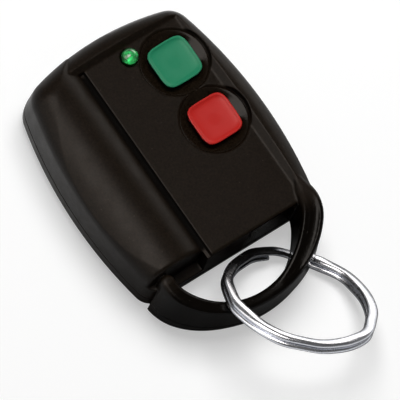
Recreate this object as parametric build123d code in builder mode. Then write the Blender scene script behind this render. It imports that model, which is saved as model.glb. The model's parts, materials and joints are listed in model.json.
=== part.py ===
"""Key-ring remote transmitter: two moulded half shells with a loop, two buttons, a signal
lamp, a circuit board with its parts, a long-barrel battery and a split ring.

Millimetres. X points from the battery ridge to the buttons, Y from the key loop to the
lamp, Z out of the front. The origin lies on the flat back, under the middle of the body.
"""

import math
import os

from build123d import *

os.makedirs("parts", exist_ok=True)

# Heights of the housing above its back
PARTING_Z = 4.5
PANEL_Z = 12.0
RIM_Z = 13.2
RIDGE_Z = 14.0
SHELL_WALL = 1.5
LIP_HEIGHT = 0.8
LIP_THICKNESS = 0.9
LIP_CLEARANCE = 0.1
DRAFT = 2.0

# Outline of the body at the parting line
BODY_HALF_WIDTH = 19.3
SIDE_APEX_Y = -3.8
SIDE_RADIUS = 80.0
TOP_Y = 21.9
TOP_RADIUS = 52.0
CORNER_RADIUS = 4.5
END_CORNER_RADIUS = 3.4
END_WALL_Y = -21.9
BACK_EDGE_RADIUS = 2.4

# Rounding from the front to the sides, which stays inside the corners' own radius
CORNER_SPARE = 0.4
PANEL_END_RADIUS = 0.5
SEAM_CHAMFER = 0.15

# Key loop: centre line of its bar, and the bar's section at its arms and at its tip
LOOP_ROOT_Y = -20.5
LOOP_BURIED_Y = -16.5
LOOP_INSET = 4.0
LOOP_REACH = 11.75
LOOP_SHOULDER_RADIUS = 8.2
LOOP_UNDER_Z = 3.3
TIP_UNDER_Z = 2.2
NOSE_UNDER_Z = 0.8
ARM_WIDTH = 4.4
ARM_CREST = 3.2
ARM_LEAN = 0.25
ARM_TOP_Z = 13.1
NOSE_TOP_Z = 12.2
BAR_ROUNDING = 0.36
SHOULDER_WIDTH = 4.4
SHOULDER_CREST = 2.7
SHOULDER_TOP_Z = 11.5
SHOULDER_UNDER_Z = 1.4
NOSE_WIDTH = 3.0
NOSE_BASE = 3.8
NOSE_CREST = 2.6
NOSE_LEAN = -0.6
BURIED_WIDTH = 2.2
BURIED_CREST = 1.2
BURIED_TOP_Z = 12.5
TIP_WIDTH = 2.7
TIP_CREST = 2.2
TIP_TOP_Z = 10.9
NOSE_TURN = 7.0

# Battery ridge on the left of the front
RIDGE_INSET = 6.7
RIDGE_RADIUS = 8.7
RIDGE_END_Y = -19.95
RIDGE_END_WALL = 1.2
RIDGE_END_RADIUS = 0.8
NOTCH_FLOOR_Z = 8.6
END_POCKET_FLOOR_Z = 5.8
END_POCKET_OFFSET = -2.7
GROOVE_WIDTH = 0.7

# Recessed panel
PANEL_OFFSET = 7.2
RIM_WIDTH = 5.2
PANEL_TOP_Y = 17.5
RIM_SLOPE_WIDTH = 1.25

# Buttons and their wells
BUTTON_INSET = 4.9
BUTTON_MID_Y = 4.6
BUTTON_PITCH = 12.2
BUTTON_SIZE = 8.1
BUTTON_BULGE = 0.12
BUTTON_CORNER = 2.1
BUTTON_TOP_Z = 12.5
BUTTON_EDGE = 0.4
BUTTON_DISH = 0.35
BUTTON_BORDER = 0.6
BUTTON_SLOPE = 0.7
BUTTON_CLEARANCE = 0.15
BUTTON_FLANGE = 9.4
BUTTON_FLANGE_THICKNESS = 0.7
BUTTON_FLANGE_GAP = 0.1
BUTTON_FLANGE_CORNER = 2.0
BUTTON_HOLLOW = 6.0
BUTTON_ROOF = 1.2
BUTTON_STEM_RADIUS = 1.4
WELL_RADIUS = 6.4
WELL_FLOOR_RADIUS = 5.3
WELL_FLOOR_Z = 10.9
WELL_WALL = 1.1

# Signal lamp
LED_X = 2.9
LED_Y = 15.5
LED_RADIUS = 1.5
LED_CLEARANCE = 0.15
LED_TOP_Z = 14.0
LED_LENGTH = 5.3
LED_FLANGE_RADIUS = 1.9
LED_FLANGE_THICKNESS = 0.9
LED_COLLAR_RADIUS = 2.1
LED_COLLAR_GAP = 0.1
LEAD_PITCH = 2.54
LEAD_SIZE = 0.5
LEAD_HOLE_RADIUS = 0.45
LEAD_TAIL = 0.6

# Circuit board
BOARD_BOTTOM_Z = 3.0
BOARD_THICKNESS = 1.6
BOARD_OFFSET = 7.7
BOARD_INSET = 4.7
BOARD_TOP_Y = 17.0
BOARD_END_Y = -15.6
BOARD_CORNER = 3.5
BOARD_NOTCH_X = 0.0
BOARD_NOTCH_Y = 14.4
BOARD_BAY_RADIUS = 2.7
POST_RADIUS = 0.8
POST_SPOTS = ((12.6, -13.6), (-3.6, -11.2), (11.6, 4.6), (-3.6, 13.3))

# Push switches under the buttons
SWITCH_SIZE = 6.0
SWITCH_HEIGHT = 3.5
SWITCH_COVER = 0.4
SWITCH_CHAMBER_RADIUS = 2.4
SWITCH_CHAMBER_HEIGHT = 1.1
PLUNGER_RADIUS = 1.7
PLUNGER_CLEARANCE = 0.05
PLUNGER_FLANGE_RADIUS = 2.2
PLUNGER_FLANGE_THICKNESS = 0.5
DOME_RADIUS = 2.1
DOME_RISE = 0.45
DOME_THICKNESS = 0.1

# Battery and its contacts
BATTERY_OFFSET = 1.5
BATTERY_AXIS_Z = 7.3
BATTERY_RADIUS = 5.15
BATTERY_CLEARANCE = 0.15
BATTERY_LENGTH = 27.3
BATTERY_NUB_RADIUS = 1.9
BATTERY_NUB_LENGTH = 1.2
BATTERY_CRIMP = 0.5
CONTACT_THICKNESS = 0.4
CONTACT_RADIUS = 4.4
CONTACT_CLEARANCE = 0.15
CONTACT_LOW_Z = 3.2
CONTACT_TAB_HEIGHT = 2.9
CONTACT_STRIP_GAP = 0.3
CONTACT_FOOT_LENGTH = 2.8
CONTACT_FOOT_WIDTH = 2.0
POSITIVE_FOOT_Y = 10.2
NEGATIVE_FOOT_Y = -15.4
SPRING_WIRE_RADIUS = 0.25
SPRING_RADIUS = 3.0
SPRING_PITCH = 1.0
SPRING_QUARTER_TURNS = 14
SPRING_SEAT_GAP = 0.05
BAY_CORNER = 0.8
PARTITION_THICKNESS = 1.2
PARTITION_WIDTH = 7.8
CRADLE_YS = (-8.0, 8.0)
CRADLE_THICKNESS = 1.2
CRADLE_TOP_Z = 3.2

# Case screws
SCREW_SPOTS = ((1.0, -17.3), (-2.9, 16.9))
SCREW_SHANK_RADIUS = 0.95
SCREW_CLEARANCE = 0.2
PILOT_CLEARANCE = 0.03
SCREW_HEAD_RADIUS = 1.8
SCREW_HEAD_THICKNESS = 1.2
SCREW_RECESS_RADIUS = 2.0
SCREW_RECESS_DEPTH = 1.7
SCREW_END_Z = 9.4
SCREW_SLOT = 0.5
SCREW_SLOT_LENGTH = 2.0
BOSS_RADIUS = 2.4
ROOF_BITE = 0.5

# Parts soldered to the board
TERMINAL_THICKNESS = 0.2
SWITCH_TERMINAL_REACH = 0.8
SWITCH_TERMINAL_WIDTH = 0.7
SWITCH_TERMINAL_RISE = 1.6
SWITCH_TERMINAL_SPREAD = 4.0
ENCODER_X = 0.3
ENCODER_Y = 4.2
ENCODER_SIZE = (7.5, 11.6, 2.3)
ENCODER_STANDOFF = 0.2
ENCODER_PINS = 9
ENCODER_PITCH = 1.27
ENCODER_LEAD_REACH = 1.1
ENCODER_LEAD_WIDTH = 0.42
ENCODER_LEAD_RISE = 1.3
RESONATOR_X = 0.2
RESONATOR_Y = -6.7
RESONATOR_RADIUS = 4.0
RESONATOR_RIM_RADIUS = 4.5
RESONATOR_RIM_THICKNESS = 0.5
RESONATOR_HEIGHT = 3.4
TRIMMER_X = 7.2
TRIMMER_Y = -10.6
TRIMMER_RADIUS = 2.6
TRIMMER_HEIGHT = 1.9
ROTOR_RADIUS = 1.8
ROTOR_CLEARANCE = 0.05
ROTOR_SINK = 0.8
ROTOR_RISE = 0.2
ROTOR_SLOT = (0.5, 2.6, 0.5)
ANTENNA_X = 13.6
ANTENNA_END_Y = -10.4
ANTENNA_START_Y = 10.5
ANTENNA_RADIUS = 0.4
ANTENNA_HOLE_RADIUS = 0.5
ANTENNA_BEND = 1.5
ANTENNA_HEIGHT = 2.4
CHIP_SIZE = (1.25, 2.0, 0.6)
CHIP_CAP_LENGTH = 0.4
CAPACITOR_HEIGHT = 1.0
RESISTOR_SPOTS = ((-1.0, -13.1), (3.4, -13.1), (11.3, -6.2), (5.0, 14.6))
CAPACITOR_SPOTS = ((1.2, -13.1), (11.3, -9.2), (10.6, -13.9), (-0.6, 12.6), (1.6, 12.0))
TRANSISTOR_X = 8.4
TRANSISTOR_Y = -6.4
TRANSISTOR_SIZE = (3.0, 1.4, 1.1)
TRANSISTOR_LEADS = ((-0.95, -1), (0.95, -1), (0.0, 1))
TRANSISTOR_LEAD_REACH = 0.6
TRANSISTOR_LEAD_WIDTH = 0.45
TRANSISTOR_LEAD_RISE = 0.7

# Split ring, as it lies with one side through the loop
RING_OUTER_RADIUS = 14.1
RING_INNER_RADIUS = 12.0
RING_TURN_THICKNESS = 0.9
RING_TURN_GAP = 0.06
RING_EDGE = 0.25
RING_CENTRE = (4.07, -35.77, 8.95)
RING_AXIS = (0.4336, 0.3826, 0.8158)
RING_END_ANGLE = -59.0
RING_RAMP_ANGLE = 36.0
RING_RAMP_STEPS = 6

# Sizes and places that follow from the values above
EDGE_RADIUS = CORNER_RADIUS - CORNER_SPARE
LOOP_HALF_WIDTH = BODY_HALF_WIDTH - LOOP_INSET
RIDGE_X = RIDGE_INSET - BODY_HALF_WIDTH
END_POCKET_LEFT_X = RIDGE_X + END_POCKET_OFFSET
PANEL_LEFT_X = RIDGE_X + PANEL_OFFSET
PANEL_RIGHT_X = BODY_HALF_WIDTH - RIM_WIDTH
BUTTON_X = PANEL_RIGHT_X - BUTTON_INSET
BATTERY_X = RIDGE_X + BATTERY_OFFSET
BOARD_LEFT_X = RIDGE_X + BOARD_OFFSET
BOARD_RIGHT_X = BODY_HALF_WIDTH - BOARD_INSET
BOARD_TOP_Z = BOARD_BOTTOM_Z + BOARD_THICKNESS
POST_TOP_Z = PARTING_Z + LIP_HEIGHT
CEILING_Z = PANEL_Z - SHELL_WALL
GROOVE_FLOOR_Z = RIDGE_Z - RIDGE_RADIUS + math.sqrt(
    RIDGE_RADIUS**2 - (PANEL_LEFT_X - GROOVE_WIDTH - RIDGE_X) ** 2)
WELL_UNDER_Z = WELL_FLOOR_Z - WELL_WALL
FLANGE_TOP_Z = WELL_UNDER_Z - BUTTON_FLANGE_GAP
FLANGE_UNDER_Z = FLANGE_TOP_Z - BUTTON_FLANGE_THICKNESS
SWITCH_TOP_Z = BOARD_TOP_Z + SWITCH_HEIGHT
CHAMBER_TOP_Z = SWITCH_TOP_Z - SWITCH_COVER
CHAMBER_FLOOR_Z = CHAMBER_TOP_Z - SWITCH_CHAMBER_HEIGHT
BAY_END_Y = RIDGE_END_Y + RIDGE_END_WALL
SPRING_END_Y = BAY_END_Y + CONTACT_THICKNESS
SPRING_LENGTH = SPRING_QUARTER_TURNS * SPRING_PITCH / 4 + 2 * (SPRING_WIRE_RADIUS + SPRING_SEAT_GAP)
BATTERY_END_Y = SPRING_END_Y + SPRING_LENGTH
BATTERY_TOP_Y = BATTERY_END_Y + BATTERY_LENGTH
NUB_TOP_Y = BATTERY_TOP_Y + BATTERY_NUB_LENGTH
BAY_TOP_Y = NUB_TOP_Y + CONTACT_THICKNESS
BAY_RADIUS = BATTERY_RADIUS + BATTERY_CLEARANCE
STRIP_X = BATTERY_X + BATTERY_RADIUS + CONTACT_STRIP_GAP
LED_BOTTOM_Z = LED_TOP_Z - LED_LENGTH
LED_FLANGE_TOP_Z = LED_BOTTOM_Z + LED_FLANGE_THICKNESS
TAIL_Z = BOARD_BOTTOM_Z - LEAD_TAIL
GREEN_Y = BUTTON_MID_Y + BUTTON_PITCH / 2
RED_Y = BUTTON_MID_Y - BUTTON_PITCH / 2
BUTTON_YS = (GREEN_Y, RED_Y)
RING_STEP = RING_TURN_THICKNESS + RING_TURN_GAP
RING_MEAN_RADIUS = (RING_OUTER_RADIUS + RING_INNER_RADIUS) / 2
ABOVE_ALL = 20.0
REACH = 80.0
UPWARD = (Align.CENTER, Align.CENTER, Align.MIN)
CORNER = (Align.MIN, Align.MIN, Align.MIN)


def save(part, name):
    """Write one piece under its own name."""
    part.label = name
    export_step(part, os.path.join("parts", name + ".step"))


def side_x(y, inset=0):
    """Half width of the bulging body at y, some way inside its surface."""
    radius = SIDE_RADIUS - inset
    return BODY_HALF_WIDTH - SIDE_RADIUS + math.sqrt(radius**2 - (y - SIDE_APEX_Y) ** 2)


def top_y(x, inset=0):
    """Place of the bulging top edge at x, some way inside its surface."""
    radius = TOP_RADIUS - inset
    return TOP_Y - TOP_RADIUS + math.sqrt(radius**2 - x**2)


def body_outline(inset=0):
    """Outline of the body at the parting line without the loop, drawn some way inside it."""
    corner_x = BODY_HALF_WIDTH
    for _ in range(20):
        corner_x = side_x(top_y(corner_x, inset), inset)
    corner_y = top_y(corner_x, inset)
    end_y = END_WALL_Y + inset
    end_x = side_x(end_y, inset)
    apex_x = side_x(SIDE_APEX_Y, inset)
    with BuildSketch() as outline:
        with BuildLine():
            ThreePointArc((end_x, end_y), (apex_x, SIDE_APEX_Y), (corner_x, corner_y))
            ThreePointArc((corner_x, corner_y), (0, top_y(0, inset)), (-corner_x, corner_y))
            ThreePointArc((-corner_x, corner_y), (-apex_x, SIDE_APEX_Y), (-end_x, end_y))
            Line((-end_x, end_y), (end_x, end_y))
        make_face()
        fillet(outline.vertices().group_by(Axis.Y)[-1], CORNER_RADIUS - inset)
        fillet(outline.vertices().group_by(Axis.Y)[0], END_CORNER_RADIUS - inset)
    return outline.sketch


def cavity_outline(inset):
    """Room inside the rear shell's wall, kept clear of the pocket below the ridge's end."""
    with BuildSketch() as outline:
        add(body_outline(SHELL_WALL + inset))
        with Locations((PANEL_LEFT_X - GROOVE_WIDTH + inset, BAY_END_Y + BAY_CORNER + inset)):
            Rectangle(REACH, REACH, align=(Align.MAX, Align.MAX), mode=Mode.SUBTRACT)
    return outline.sketch


def blank_outline():
    """Outline of the body, run out straight past the loop's end."""
    corner_x = BODY_HALF_WIDTH
    for _ in range(20):
        corner_x = side_x(top_y(corner_x))
    corner_y = top_y(corner_x)
    end_y = END_WALL_Y - CORNER_RADIUS
    end_x = side_x(end_y)
    with BuildSketch() as outline:
        with BuildLine():
            ThreePointArc((end_x, end_y), (BODY_HALF_WIDTH, SIDE_APEX_Y), (corner_x, corner_y))
            ThreePointArc((corner_x, corner_y), (0, TOP_Y), (-corner_x, corner_y))
            ThreePointArc((-corner_x, corner_y), (-BODY_HALF_WIDTH, SIDE_APEX_Y), (-end_x, end_y))
            Line((-end_x, end_y), (end_x, end_y))
        make_face()
        fillet(outline.vertices().group_by(Axis.Y)[-1], CORNER_RADIUS)
    return outline.sketch


def rounded_blank(top_z):
    """Drafted body of some height, with its sides and its lamp end rounded over."""
    with BuildPart() as blank:
        with BuildSketch(Plane.XY.offset(PARTING_Z)):
            add(blank_outline())
        extrude(amount=top_z - PARTING_Z, taper=DRAFT)
        top_edges = blank.faces().sort_by(Axis.Z)[-1].edges()
        fillet(top_edges.filter_by_position(Axis.Y, END_WALL_Y, TOP_Y), EDGE_RADIUS)
    return blank.part


def ridge_profile():
    """Front view of the battery ridge, out to its left and as far as the panel's groove."""
    ridge_z = RIDGE_Z - RIDGE_RADIUS
    right_x = PANEL_LEFT_X - GROOVE_WIDTH
    right_mid_x = (RIDGE_X + right_x) / 2
    right_mid_z = ridge_z + math.sqrt(RIDGE_RADIUS**2 - (right_mid_x - RIDGE_X) ** 2)
    right_z = ridge_z + math.sqrt(RIDGE_RADIUS**2 - (right_x - RIDGE_X) ** 2)
    left_x = RIDGE_X - RIDGE_RADIUS
    with BuildSketch(Plane.XZ) as profile:
        with BuildLine():
            ThreePointArc((left_x, ridge_z), (RIDGE_X - RIDGE_RADIUS * math.sqrt(0.5),
                          ridge_z + RIDGE_RADIUS * math.sqrt(0.5)), (RIDGE_X, RIDGE_Z))
            ThreePointArc((RIDGE_X, RIDGE_Z), (right_mid_x, right_mid_z), (right_x, right_z))
            Polyline((right_x, right_z), (right_x, -REACH), (left_x, -REACH), (left_x, ridge_z))
        make_face()
    return profile.sketch


def loop_path():
    """Centre line of the loop's bar, from inside the right rim round to the nose."""
    inset = LOOP_HALF_WIDTH - LOOP_SHOULDER_RADIUS
    spare = LOOP_REACH - LOOP_SHOULDER_RADIUS
    drop = (inset**2 - spare**2) / (2 * spare)
    meet = math.degrees(math.atan2(drop, inset))
    with BuildLine(Plane.XY.offset(PARTING_Z)) as path:
        Line((LOOP_HALF_WIDTH, LOOP_BURIED_Y), (LOOP_HALF_WIDTH, LOOP_ROOT_Y))
        CenterArc((inset, LOOP_ROOT_Y), LOOP_SHOULDER_RADIUS, 0, -meet)
        CenterArc((0, LOOP_ROOT_Y + drop), LOOP_REACH + drop, -meet, -180 + 2 * meet)
        CenterArc((-inset, LOOP_ROOT_Y), LOOP_SHOULDER_RADIUS, -180 + meet, NOSE_TURN - meet)
    return path.wires()[0]


def bar_profile(base_width, crest_width, lean, under_z, top_z):
    """Section of the loop's bar: drafted walls under a well rounded crest."""
    low = under_z - PARTING_Z
    high = top_z - PARTING_Z
    with BuildSketch() as section:
        with BuildLine():
            Polyline((-base_width / 2, low), (base_width / 2, low), (base_width / 2, 0.3),
                     (crest_width / 2 - lean, high), (-crest_width / 2 - lean, high),
                     (-base_width / 2, 0.3), close=True)
        make_face()
        fillet(section.vertices().group_by(Axis.Y)[-1], BAR_ROUNDING * crest_width)
        fillet(section.vertices().group_by(Axis.Y)[0], BAR_ROUNDING * crest_width)
    return section.sketch


def bar_section(place, outward, base_width, crest_width, lean, under_z, top_z):
    """Section of the loop's bar, stood up across its centre line."""
    plane = Plane(origin=place, x_dir=outward, z_dir=Vector(*outward).cross(Vector(0, 0, 1)))
    with BuildSketch(plane) as section:
        add(bar_profile(base_width, crest_width, lean, under_z, top_z))
    return section.sketch.face()


def button_outline(size, corner):
    """Square with rounded corners and slightly bulging sides."""
    half = size / 2
    edge = half - BUTTON_BULGE
    with BuildSketch() as outline:
        with BuildLine():
            ThreePointArc((edge, -edge), (half, 0), (edge, edge))
            ThreePointArc((edge, edge), (0, half), (-edge, edge))
            ThreePointArc((-edge, edge), (-half, 0), (-edge, -edge))
            ThreePointArc((-edge, -edge), (0, -half), (edge, -edge))
        make_face()
        fillet(outline.vertices(), corner)
    return outline.sketch


def arc_between(start, tangent, end):
    """Three points of the arc that leaves start along tangent and reaches end."""
    chord = end - start
    along = chord.normalized()
    turn = math.acos(max(-1.0, min(1.0, tangent.dot(along))))
    across = (tangent - along * math.cos(turn)).normalized()
    return start, start + chord / 2 + across * (chord.length / 2 * math.tan(turn / 2)), end


def biarc(start, start_tangent, end, end_tangent):
    """Two arcs that join two points and leave both along their tangents."""
    gap = end - start
    both = start_tangent + end_tangent
    open_angle = 2 * (1 - start_tangent.dot(end_tangent))
    reach = (math.sqrt(gap.dot(both) ** 2 + open_angle * gap.dot(gap)) - gap.dot(both)) / open_angle
    knee_a = start + start_tangent * reach
    knee_b = end - end_tangent * reach
    middle = (knee_a + knee_b) / 2
    return (arc_between(start, start_tangent, middle),
            arc_between(middle, (knee_b - knee_a).normalized(), end))


# Bar of the key loop, from the right rim round to the nose at the ridge's end
bar_path = loop_path()
bar_edges = bar_path.edges().sort_by(Axis.X)
shoulder = bar_edges[0] @ 0
shoulder_way = (shoulder - Vector(LOOP_SHOULDER_RADIUS - LOOP_HALF_WIDTH, LOOP_ROOT_Y, PARTING_Z)).normalized()
nose = bar_path @ 1
nose_way = (bar_path % 1).cross(Vector(0, 0, 1))
sections = [
    bar_section(bar_path @ 0, (1, 0, 0), BURIED_WIDTH, BURIED_CREST, 0, LOOP_UNDER_Z, BURIED_TOP_Z),
    bar_section(Vector(LOOP_HALF_WIDTH, LOOP_ROOT_Y, PARTING_Z), (1, 0, 0),
                ARM_WIDTH, ARM_CREST, ARM_LEAN, LOOP_UNDER_Z, ARM_TOP_Z),
    bar_section(Vector(0, LOOP_ROOT_Y - LOOP_REACH, PARTING_Z), (0, -1, 0),
                TIP_WIDTH, TIP_CREST, 0, TIP_UNDER_Z, TIP_TOP_Z),
    bar_section(shoulder, tuple(shoulder_way),
                SHOULDER_WIDTH, SHOULDER_CREST, 0, SHOULDER_UNDER_Z, SHOULDER_TOP_Z),
    bar_section(nose, tuple(nose_way),
                NOSE_BASE, NOSE_CREST, NOSE_LEAN, NOSE_UNDER_Z, NOSE_TOP_Z),
]

with BuildPart() as loop_bar:
    sweep(sections=sections, path=bar_path, multisection=True)

with BuildPart() as nose_post:
    with BuildSketch(Plane(origin=nose - nose_way * NOSE_LEAN, x_dir=nose_way,
                           z_dir=nose_way.cross(Vector(0, 0, 1)))):
        add(bar_profile(NOSE_WIDTH, NOSE_CREST, 0, NOSE_UNDER_Z, NOSE_TOP_Z))
        Rectangle(REACH, REACH, align=(Align.MAX, Align.CENTER), mode=Mode.SUBTRACT)
    revolve(axis=Axis(nose - nose_way * NOSE_LEAN, (0, 0, 1)))

# Recess of the panel, stopped by the ridge and open towards the loop
with BuildPart() as panel_recess:
    with BuildSketch(Plane.XY.offset(PANEL_Z)):
        with Locations((PANEL_RIGHT_X, PANEL_TOP_Y)):
            Rectangle(PANEL_RIGHT_X - RIDGE_X, REACH, align=(Align.MAX, Align.MAX))
    extrude(amount=RIM_Z - PANEL_Z, taper=-math.degrees(math.atan(RIM_SLOPE_WIDTH / (RIM_Z - PANEL_Z))))
    with Locations((PANEL_LEFT_X, PANEL_TOP_Y, GROOVE_FLOOR_Z)):
        Box(PANEL_LEFT_X - RIDGE_X, REACH, RIM_Z - GROOVE_FLOOR_Z, align=(Align.MAX, Align.MAX, Align.MIN))
    extrude(ridge_profile(), amount=REACH, both=True, mode=Mode.SUBTRACT)

# Hollow of the front shell, with room for the buttons' flanges under the wells
with BuildPart() as front_room:
    with BuildSketch(Plane.XY.offset(PARTING_Z)):
        add(body_outline(SHELL_WALL))
    extrude(amount=WELL_UNDER_Z - PARTING_Z, taper=DRAFT)
    with BuildSketch(Plane.XY.offset(WELL_UNDER_Z)):
        add(body_outline(SHELL_WALL + (WELL_UNDER_Z - PARTING_Z) * math.tan(math.radians(DRAFT))))
        with Locations(*((BUTTON_X, y) for y in BUTTON_YS)):
            Circle(WELL_RADIUS + WELL_WALL, mode=Mode.SUBTRACT)
    extrude(amount=CEILING_Z - WELL_UNDER_Z)
    with Locations((PANEL_LEFT_X - GROOVE_WIDTH, BAY_END_Y + BAY_CORNER, PARTING_Z)):
        Box(REACH, REACH, REACH, align=(Align.MAX, Align.MAX, Align.MIN), mode=Mode.SUBTRACT)

# Battery ridge, which stands above the rim
with BuildPart() as battery_ridge:
    add(rounded_blank(RIDGE_Z))
    extrude(ridge_profile(), amount=REACH, both=True, mode=Mode.INTERSECT)

with BuildPart() as front_shell:
    add(rounded_blank(RIM_Z))
    add(battery_ridge.part)
    with BuildSketch(Plane.XY.offset(PARTING_Z)):
        add(body_outline())
    extrude(amount=ABOVE_ALL - PARTING_Z, taper=DRAFT, mode=Mode.INTERSECT)
    chamfer(front_shell.edges().group_by(Axis.Z)[0], SEAM_CHAMFER)
    add(panel_recess.part, mode=Mode.SUBTRACT)
    with Locations((RIDGE_X, RIDGE_END_Y, NOTCH_FLOOR_Z)):
        Box(REACH, REACH, REACH, align=(Align.MAX, Align.MAX, Align.MIN), mode=Mode.SUBTRACT)
    with Locations((END_POCKET_LEFT_X, RIDGE_END_Y, END_POCKET_FLOOR_Z)):
        Box(PANEL_LEFT_X - GROOVE_WIDTH - END_POCKET_LEFT_X, REACH, REACH,
            align=(Align.MIN, Align.MAX, Align.MIN), mode=Mode.SUBTRACT)
    # Soft edges at the ends of the ridge and the panel
    ridge_end = front_shell.edges().filter_by_position(Axis.Y, RIDGE_END_Y - 0.001, RIDGE_END_Y + 0.001)
    fillet(ridge_end.filter_by_position(Axis.Z, NOTCH_FLOOR_Z + RIDGE_END_RADIUS, RIDGE_Z), RIDGE_END_RADIUS)
    panel_edges = front_shell.edges().filter_by_position(Axis.Z, PANEL_Z - 0.001, PANEL_Z + 0.001)
    fillet(panel_edges.sort_by(Axis.Y)[0], PANEL_END_RADIUS)
    add(split(loop_bar.part, Plane.XY.offset(PARTING_Z), Keep.TOP, mode=Mode.PRIVATE))
    add(split(nose_post.part, Plane.XY.offset(PARTING_Z), Keep.TOP, mode=Mode.PRIVATE))
    # Dished wells round the buttons
    for y in BUTTON_YS:
        with Locations((BUTTON_X, y, WELL_FLOOR_Z)):
            Cone(WELL_FLOOR_RADIUS, WELL_RADIUS, PANEL_Z - WELL_FLOOR_Z,
                 align=(Align.CENTER, Align.CENTER, Align.MIN), mode=Mode.SUBTRACT)
            with Locations((0, 0, PANEL_Z - WELL_FLOOR_Z)):
                Cylinder(WELL_RADIUS, REACH, align=(Align.CENTER, Align.CENTER, Align.MIN),
                         mode=Mode.SUBTRACT)
    add(front_room.part, mode=Mode.SUBTRACT)
    # Battery bay under the ridge, open towards the back
    with BuildSketch(Plane.XZ.offset(-BAY_END_Y)):
        with Locations((BATTERY_X, BATTERY_AXIS_Z)):
            Circle(BAY_RADIUS)
            Rectangle(2 * BAY_RADIUS, REACH, align=(Align.CENTER, Align.MAX))
    extrude(amount=BAY_END_Y - BATTERY_TOP_Y - BATTERY_CLEARANCE, mode=Mode.SUBTRACT)
    with BuildSketch(Plane.XZ.offset(-BAY_END_Y)):
        with Locations((BATTERY_X, BATTERY_AXIS_Z)):
            Circle(CONTACT_RADIUS + CONTACT_CLEARANCE)
            Rectangle(2 * (CONTACT_RADIUS + CONTACT_CLEARANCE), REACH, align=(Align.CENTER, Align.MAX))
    extrude(amount=BAY_END_Y - BAY_TOP_Y, mode=Mode.SUBTRACT)
    # Wall behind the battery, screw bosses, pins over the board and a collar round the lamp
    with Locations((BATTERY_X, BAY_TOP_Y, POST_TOP_Z)):
        Box(PARTITION_WIDTH, PARTITION_THICKNESS, CEILING_Z + ROOF_BITE - POST_TOP_Z,
            align=(Align.CENTER, Align.MIN, Align.MIN))
    with Locations(*((x, y, POST_TOP_Z) for x, y in SCREW_SPOTS)):
        Cylinder(BOSS_RADIUS, CEILING_Z + ROOF_BITE - POST_TOP_Z, align=UPWARD)
    with Locations(*((x, y, BOARD_TOP_Z) for x, y in POST_SPOTS)):
        Cylinder(POST_RADIUS, CEILING_Z + ROOF_BITE - BOARD_TOP_Z, align=UPWARD)
    with Locations((LED_X, LED_Y, LED_FLANGE_TOP_Z + LED_COLLAR_GAP)):
        Cylinder(LED_COLLAR_RADIUS, CEILING_Z + ROOF_BITE - LED_FLANGE_TOP_Z, align=UPWARD)
    # Holes for the screws, the lamp and the buttons
    with Locations(*((x, y, POST_TOP_Z) for x, y in SCREW_SPOTS)):
        Cylinder(SCREW_SHANK_RADIUS + PILOT_CLEARANCE, SCREW_END_Z + SCREW_CLEARANCE - POST_TOP_Z,
                 align=UPWARD, mode=Mode.SUBTRACT)
    with Locations((LED_X, LED_Y, LED_BOTTOM_Z)):
        Cylinder(LED_RADIUS + LED_CLEARANCE, REACH, align=UPWARD, mode=Mode.SUBTRACT)
    with BuildSketch(Plane.XY.offset(FLANGE_UNDER_Z)):
        with Locations(*((BUTTON_X, y) for y in BUTTON_YS)):
            add(button_outline(BUTTON_SIZE + 2 * BUTTON_CLEARANCE, BUTTON_CORNER + BUTTON_CLEARANCE))
    extrude(amount=RIM_Z - FLANGE_UNDER_Z, mode=Mode.SUBTRACT)

save(front_shell.part, "front_shell")


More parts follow.
